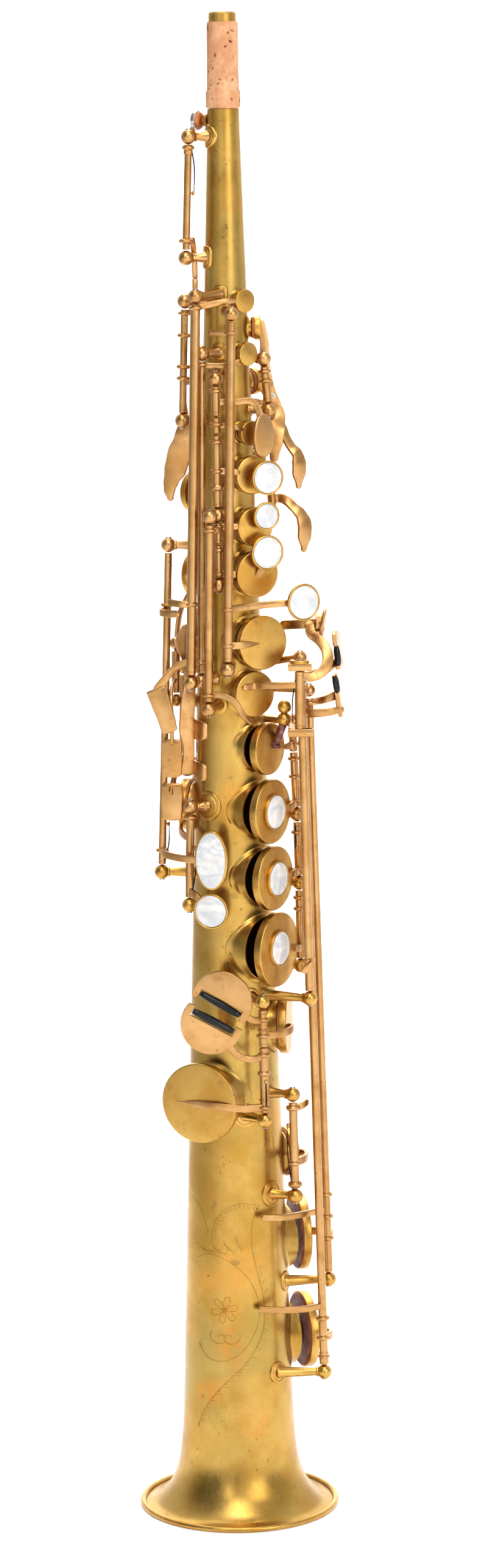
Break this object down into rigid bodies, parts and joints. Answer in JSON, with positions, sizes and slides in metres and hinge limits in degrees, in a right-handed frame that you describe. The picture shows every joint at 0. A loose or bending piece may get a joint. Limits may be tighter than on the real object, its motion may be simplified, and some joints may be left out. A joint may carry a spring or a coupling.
{
  "type": "soprano saxophone",
  "caption": "Straight one-piece soprano saxophone standing on its bell: conical brass tube with sprung key cups, hinge tubes, pearl touches, rollers and a corked tenon.",
  "frame": {"origin": "centre of the bell rim, on the plane it stands on (the tube axis is Z; the little-finger table makes the bounding box centre lie 3 mm to +X)", "axes": "+Z along the tube towards the tenon, -Y the front of the instrument, +X towards the little-finger rods"},
  "size_m": [0.0951, 0.0919, 0.665],
  "materials": {
    "a_key": "satin copper-toned brass keywork; its cups also stand for the leather pads inside them",
    "a_key_pearl": "white mother-of-pearl inlay, polished",
    "alt_f_sharp_key": "satin copper-toned brass keywork; its cups also stand for the leather pads inside them",
    "alt_f_sharp_key_pearl": "white mother-of-pearl inlay, polished",
    "b_key": "satin copper-toned brass keywork; its cups also stand for the leather pads inside them",
    "b_key_pearl": "white mother-of-pearl inlay, polished",
    "bell_rim_ring": "unlacquered brass, aged, with soft brown and green patina",
    "bis_bridge_key": "satin copper-toned brass keywork; its cups also stand for the leather pads inside them",
    "bis_key": "satin copper-toned brass keywork; its cups also stand for the leather pads inside them",
    "bis_key_pearl": "white mother-of-pearl inlay, polished",
    "body_tube": "unlacquered brass, aged, with soft brown and green patina",
    "c_vent_key": "satin copper-toned brass keywork; its cups also stand for the leather pads inside them",
    "d_key": "satin copper-toned brass keywork; its cups also stand for the leather pads inside them",
    "d_key_pearl": "white mother-of-pearl inlay, polished",
    "e_flat_key": "satin copper-toned brass keywork; its cups also stand for the leather pads inside them",
    "e_flat_key_roller": "black barrel roller, polished",
    "e_key": "satin copper-toned brass keywork; its cups also stand for the leather pads inside them",
    "e_key_pearl": "white mother-of-pearl inlay, polished",
    "f_key": "satin copper-toned brass keywork; its cups also stand for the leather pads inside them",
    "f_key_pearl": "white mother-of-pearl inlay, polished",
    "f_sharp_key": "satin copper-toned brass keywork; its cups also stand for the leather pads inside them",
    "front_f_key": "satin copper-toned brass keywork; its cups also stand for the leather pads inside them",
    "g_key": "satin copper-toned brass keywork; its cups also stand for the leather pads inside them",
    "g_key_pearl": "white mother-of-pearl inlay, polished",
    "g_sharp_key": "satin copper-toned brass keywork; its cups also stand for the leather pads inside them",
    "high_f_sharp_key": "satin copper-toned brass keywork; its cups also stand for the leather pads inside them",
    "high_f_sharp_lever": "satin copper-toned brass keywork; its cups also stand for the leather pads inside them",
    "high_f_sharp_lever_pearl": "white mother-of-pearl inlay, polished",
    "low_b_flat_key": "satin copper-toned brass keywork; its cups also stand for the leather pads inside them",
    "low_b_flat_roller": "black barrel roller, polished",
    "low_b_key": "satin copper-toned brass keywork; its cups also stand for the leather pads inside them",
    "low_c_key": "satin copper-toned brass keywork; its cups also stand for the leather pads inside them",
    "low_c_key_roller": "black barrel roller, polished",
    "low_c_sharp_key": "satin copper-toned brass keywork; its cups also stand for the leather pads inside them",
    "low_c_sharp_lever": "satin copper-toned brass keywork; its cups also stand for the leather pads inside them",
    "low_c_sharp_roller": "black barrel roller, polished",
    "octave_lower_key": "satin copper-toned brass keywork; its cups also stand for the leather pads inside them",
    "octave_thumb_lever": "satin copper-toned brass keywork; its cups also stand for the leather pads inside them",
    "octave_upper_key": "satin copper-toned brass keywork; its cups also stand for the leather pads inside them",
    "palm_d_key": "satin copper-toned brass keywork; its cups also stand for the leather pads inside them",
    "palm_e_flat_key": "satin copper-toned brass keywork; its cups also stand for the leather pads inside them",
    "palm_f_key": "satin copper-toned brass keywork; its cups also stand for the leather pads inside them",
    "side_b_flat_key": "satin copper-toned brass keywork; its cups also stand for the leather pads inside them",
    "side_c_key": "satin copper-toned brass keywork; its cups also stand for the leather pads inside them",
    "side_e_key": "satin copper-toned brass keywork; its cups also stand for the leather pads inside them",
    "side_key_guard": "satin copper-toned brass keywork; its cups also stand for the leather pads inside them",
    "strap_ring": "unlacquered brass, aged, with soft brown and green patina",
    "tenon_cork": null,
    "thumb_hook": "unlacquered brass, aged, with soft brown and green patina",
    "thumb_rest_base": "unlacquered brass, aged, with soft brown and green patina",
    "thumb_rest_pad": "black moulded thumb rest"
  },
  "bodies": {
    "body": {"bell_rim_ring": "bell_rim_ring", "body_tube": "body_tube", "side_key_guard": "side_key_guard", "strap_ring": "strap_ring", "tenon_cork": "tenon_cork", "thumb_hook": "thumb_hook", "thumb_rest_base": "thumb_rest_base", "thumb_rest_pad": "thumb_rest_pad"},
    "a_key": {"a_key": "a_key", "a_key_pearl": "a_key_pearl"},
    "alt_f_sharp_key": {"alt_f_sharp_key": "alt_f_sharp_key", "alt_f_sharp_key_pearl": "alt_f_sharp_key_pearl"},
    "b_key": {"b_key": "b_key", "b_key_pearl": "b_key_pearl"},
    "bis_bridge_key": {"bis_bridge_key": "bis_bridge_key"},
    "bis_key": {"bis_key": "bis_key", "bis_key_pearl": "bis_key_pearl"},
    "c_vent_key": {"c_vent_key": "c_vent_key"},
    "d_key": {"d_key": "d_key", "d_key_pearl": "d_key_pearl"},
    "e_flat_key": {"e_flat_key": "e_flat_key", "e_flat_key_roller": "e_flat_key_roller"},
    "e_key": {"e_key": "e_key", "e_key_pearl": "e_key_pearl"},
    "f_key": {"f_key": "f_key", "f_key_pearl": "f_key_pearl"},
    "f_sharp_key": {"f_sharp_key": "f_sharp_key"},
    "front_f_key": {"front_f_key": "front_f_key"},
    "g_key": {"g_key": "g_key", "g_key_pearl": "g_key_pearl"},
    "g_sharp_key": {"g_sharp_key": "g_sharp_key"},
    "high_f_sharp_key": {"high_f_sharp_key": "high_f_sharp_key"},
    "high_f_sharp_lever": {"high_f_sharp_lever": "high_f_sharp_lever", "high_f_sharp_lever_pearl": "high_f_sharp_lever_pearl"},
    "low_b_flat_key": {"low_b_flat_key": "low_b_flat_key", "low_b_flat_roller": "low_b_flat_roller"},
    "low_b_key": {"low_b_key": "low_b_key"},
    "low_c_key": {"low_c_key": "low_c_key", "low_c_key_roller": "low_c_key_roller"},
    "low_c_sharp_key": {"low_c_sharp_key": "low_c_sharp_key"},
    "low_c_sharp_lever": {"low_c_sharp_lever": "low_c_sharp_lever", "low_c_sharp_roller": "low_c_sharp_roller"},
    "octave_lower_key": {"octave_lower_key": "octave_lower_key"},
    "octave_thumb_lever": {"octave_thumb_lever": "octave_thumb_lever"},
    "octave_upper_key": {"octave_upper_key": "octave_upper_key"},
    "palm_d_key": {"palm_d_key": "palm_d_key"},
    "palm_e_flat_key": {"palm_e_flat_key": "palm_e_flat_key"},
    "palm_f_key": {"palm_f_key": "palm_f_key"},
    "side_b_flat_key": {"side_b_flat_key": "side_b_flat_key"},
    "side_c_key": {"side_c_key": "side_c_key"},
    "side_e_key": {"side_e_key": "side_e_key"}
  },
  "joints": [
    {"name": "a_key_hinge", "type": "hinge", "parent": "body", "child": "a_key", "pos_m": [-0.0043, -0.02044, 0.4382], "axis": [0.0056, -0.0201, -0.9998], "range_deg": [-11.24, 0], "stiffness_Nm_per_rad": 0.02, "springref_deg": 17.19},
    {"name": "alt_f_sharp_key_hinge", "type": "hinge", "parent": "body", "child": "alt_f_sharp_key", "pos_m": [-0.0179, -0.014, 0.3221], "axis": [-0.023, -0.046, -0.9987], "range_deg": [-6.37, 0], "stiffness_Nm_per_rad": 0.02, "springref_deg": 17.19},
    {"name": "b_key_hinge", "type": "hinge", "parent": "body", "child": "b_key", "pos_m": [-0.00456, -0.01949, 0.4856], "axis": [0.0047, -0.0176, -0.9998], "range_deg": [-10.93, 0], "stiffness_Nm_per_rad": 0.02, "springref_deg": 17.19},
    {"name": "bis_bridge_key_hinge", "type": "hinge", "parent": "body", "child": "bis_bridge_key", "pos_m": [-0.0079, -0.0264, 0.451], "axis": [-0.0179, 0, -0.9998], "range_deg": [-6.24, 0], "stiffness_Nm_per_rad": 0.02, "springref_deg": 17.19},
    {"name": "bis_key_hinge", "type": "hinge", "parent": "body", "child": "bis_key", "pos_m": [-0.0044, -0.0201, 0.451], "axis": [0.008, -0.0271, -0.9996], "range_deg": [-10.81, 0], "stiffness_Nm_per_rad": 0.02, "springref_deg": 17.19},
    {"name": "c_vent_key_hinge", "type": "hinge", "parent": "body", "child": "c_vent_key", "pos_m": [-0.00461, -0.01934, 0.4932], "axis": [0.0056, -0.0201, -0.9998], "range_deg": [-8.08, 0], "stiffness_Nm_per_rad": 0.02, "springref_deg": 17.19},
    {"name": "d_key_hinge", "type": "hinge", "parent": "body", "child": "d_key", "pos_m": [0.0295, -0.0015, 0.2853], "axis": [0.0107, 0, -0.9999], "range_deg": [0, 9.96], "stiffness_Nm_per_rad": 0.02, "springref_deg": -17.19},
    {"name": "e_flat_key_hinge", "type": "hinge", "parent": "body", "child": "e_flat_key", "pos_m": [0.0125, -0.028, 0.2374], "axis": [0.0132, -0.0378, -0.9992], "range_deg": [0, 6.48], "stiffness_Nm_per_rad": 0.02, "springref_deg": -17.19},
    {"name": "e_key_hinge", "type": "hinge", "parent": "body", "child": "e_key", "pos_m": [0.0288, -0.0016, 0.316], "axis": [0.0228, 0.0033, -0.9997], "range_deg": [0, 9.28], "stiffness_Nm_per_rad": 0.02, "springref_deg": -17.19},
    {"name": "f_key_hinge", "type": "hinge", "parent": "body", "child": "f_key", "pos_m": [0.02759, -0.00187, 0.344], "axis": [0.0432, 0.0096, -0.999], "range_deg": [0, 8.95], "stiffness_Nm_per_rad": 0.02, "springref_deg": -17.19},
    {"name": "f_sharp_key_hinge", "type": "hinge", "parent": "body", "child": "f_sharp_key", "pos_m": [0.027, -0.002, 0.3576], "axis": [0.0432, 0.0096, -0.999], "range_deg": [0, 8.12], "stiffness_Nm_per_rad": 0.02, "springref_deg": -17.19},
    {"name": "front_f_key_hinge", "type": "hinge", "parent": "body", "child": "front_f_key", "pos_m": [-0.0047, -0.019, 0.5099], "axis": [0.0056, -0.0201, -0.9998], "range_deg": [-9.11, 0], "stiffness_Nm_per_rad": 0.02, "springref_deg": 17.19},
    {"name": "g_key_hinge", "type": "hinge", "parent": "body", "child": "g_key", "pos_m": [0.0024, -0.021, 0.5376], "axis": [-0.0215, -0.0359, -0.9991], "range_deg": [-11.04, 0], "stiffness_Nm_per_rad": 0.02, "springref_deg": 17.19},
    {"name": "g_sharp_key_hinge", "type": "hinge", "parent": "body", "child": "g_sharp_key", "pos_m": [0.0302, -0.0215, 0.3861], "axis": [-0.0062, 0, -1], "range_deg": [-11, 0], "stiffness_Nm_per_rad": 0.02, "springref_deg": 17.19},
    {"name": "high_f_sharp_key_hinge", "type": "hinge", "parent": "body", "child": "high_f_sharp_key", "pos_m": [-0.0128, -0.0184, 0.545], "axis": [-0.0246, -0.0306, -0.9992], "range_deg": [0, 6.43], "stiffness_Nm_per_rad": 0.02, "springref_deg": -17.19},
    {"name": "high_f_sharp_lever_hinge", "type": "hinge", "parent": "body", "child": "high_f_sharp_lever", "pos_m": [-0.026, -0.004, 0.4363], "axis": [-0.0339, -0.0138, -0.9993], "range_deg": [-7.46, 0], "stiffness_Nm_per_rad": 0.02, "springref_deg": 17.19},
    {"name": "low_b_flat_key_hinge", "type": "hinge", "parent": "body", "child": "low_b_flat_key", "pos_m": [0.0316, -0.011, 0.3716], "axis": [0.0225, -0.0153, -0.9996], "range_deg": [-10.86, 0], "stiffness_Nm_per_rad": 0.02, "springref_deg": 17.19},
    {"name": "low_b_key_hinge", "type": "hinge", "parent": "body", "child": "low_b_key", "pos_m": [0.0344, -0.0055, 0.3718], "axis": [0.0247, 0.0019, -0.9997], "range_deg": [-14.63, 0], "stiffness_Nm_per_rad": 0.02, "springref_deg": 17.19},
    {"name": "low_c_key_hinge", "type": "hinge", "parent": "body", "child": "low_c_key", "pos_m": [0.01277, -0.02876, 0.2172], "axis": [0.0132, -0.0378, -0.9992], "range_deg": [0, 10.73], "stiffness_Nm_per_rad": 0.02, "springref_deg": -17.19},
    {"name": "low_c_sharp_key_hinge", "type": "hinge", "parent": "body", "child": "low_c_sharp_key", "pos_m": [0.0255, -0.017, 0.1929], "axis": [0.0175, -0.0349, -0.9992], "range_deg": [0, 6.9], "stiffness_Nm_per_rad": 0.02, "springref_deg": -17.19},
    {"name": "low_c_sharp_lever_hinge", "type": "hinge", "parent": "body", "child": "low_c_sharp_lever", "pos_m": [0.0306, -0.0165, 0.388], "axis": [0.0186, -0.0298, -0.9994], "range_deg": [-7.72, 0], "stiffness_Nm_per_rad": 0.02, "springref_deg": 17.19},
    {"name": "octave_lower_key_hinge", "type": "hinge", "parent": "body", "child": "octave_lower_key", "pos_m": [-0.00925, 0.01602, 0.512], "axis": [-0.0178, 0.0309, -0.9994], "range_deg": [-8.62, 0], "stiffness_Nm_per_rad": 0.02, "springref_deg": 17.19},
    {"name": "octave_thumb_lever_hinge", "type": "hinge", "parent": "body", "child": "octave_thumb_lever", "pos_m": [-0.0175, -0.0063, 0.5422], "axis": [-0.033, -0.0136, -0.9994], "range_deg": [0, 11.9], "stiffness_Nm_per_rad": 0.02, "springref_deg": -17.19},
    {"name": "octave_upper_key_hinge", "type": "hinge", "parent": "body", "child": "octave_upper_key", "pos_m": [-0.015, -0.0055, 0.6124], "axis": [-0.0348, -0.0116, -0.9993], "range_deg": [-8.22, 0], "stiffness_Nm_per_rad": 0.02, "springref_deg": 17.19},
    {"name": "palm_d_key_hinge", "type": "hinge", "parent": "body", "child": "palm_d_key", "pos_m": [0.01864, 0.005, 0.462], "axis": [0.0637, -0.0072, -0.9979], "range_deg": [0, 14.17], "stiffness_Nm_per_rad": 0.02, "springref_deg": -17.19},
    {"name": "palm_e_flat_key_hinge", "type": "hinge", "parent": "body", "child": "palm_e_flat_key", "pos_m": [0.01864, 0.005, 0.497], "axis": [0.0637, -0.0072, -0.9979], "range_deg": [0, 12.87], "stiffness_Nm_per_rad": 0.02, "springref_deg": -17.19},
    {"name": "palm_f_key_hinge", "type": "hinge", "parent": "body", "child": "palm_f_key", "pos_m": [0.0162, -0.005, 0.517], "axis": [0.0808, 0, -0.9967], "range_deg": [0, 16.64], "stiffness_Nm_per_rad": 0.02, "springref_deg": -17.19},
    {"name": "side_b_flat_key_hinge", "type": "hinge", "parent": "body", "child": "side_b_flat_key", "pos_m": [-0.0204, 0.012, 0.38], "axis": [-0.0119, 0.0095, -0.9999], "range_deg": [-7.43, 0], "stiffness_Nm_per_rad": 0.02, "springref_deg": 17.19},
    {"name": "side_c_key_hinge", "type": "hinge", "parent": "body", "child": "side_c_key", "pos_m": [-0.0235, 0.002, 0.3921], "axis": [-0.0119, 0, -0.9999], "range_deg": [-17.63, 0], "stiffness_Nm_per_rad": 0.02, "springref_deg": 17.19},
    {"name": "side_e_key_hinge", "type": "hinge", "parent": "body", "child": "side_e_key", "pos_m": [-0.0106, -0.014, 0.5203], "axis": [-0.0127, -0.0296, -0.9995], "range_deg": [0, 8], "stiffness_Nm_per_rad": 0.02, "springref_deg": -17.19}
  ],
  "couplings": [
    {"joint": "high_f_sharp_key_hinge", "follows": "high_f_sharp_lever_hinge", "ratio": -0.86178},
    {"joint": "octave_upper_key_hinge", "follows": "octave_thumb_lever_hinge", "ratio": -0.68978},
    {"joint": "low_c_sharp_key_hinge", "follows": "low_c_sharp_lever_hinge", "ratio": -0.89375},
    {"joint": "c_vent_key_hinge", "follows": "b_key_hinge", "ratio": 0.73861},
    {"joint": "bis_bridge_key_hinge", "follows": "f_sharp_key_hinge", "ratio": -0.76742}
  ]
}
